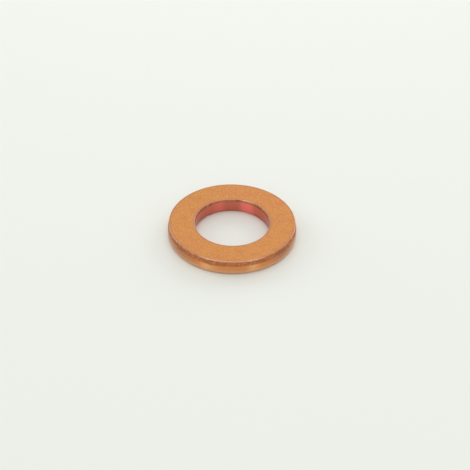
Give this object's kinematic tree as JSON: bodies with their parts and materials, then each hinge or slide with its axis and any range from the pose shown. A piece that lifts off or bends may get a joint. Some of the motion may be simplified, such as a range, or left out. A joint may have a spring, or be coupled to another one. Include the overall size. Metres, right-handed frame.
{
  "type": "washer",
  "caption": "Flat copper sealing washer, 13 mm across with a plain round 7.5 mm hole, its rim and bore walls showing the rolled, burnished and torn bands of a punched edge.",
  "frame": {"origin": "centre of the lower flat face, on the axis of the hole", "axes": "+Z along the axis of the hole, up from the face that the washer lies on; X and Y lie across it, with -Y towards the picture's viewer"},
  "size_m": [0.013, 0.013, 0.0015],
  "materials": {
    "copper": "satin, lightly tarnished orange on the faces and fresher red in the bore"
  },
  "bodies": {
    "root": {"washer": "copper"}
  },
  "joints": []
}
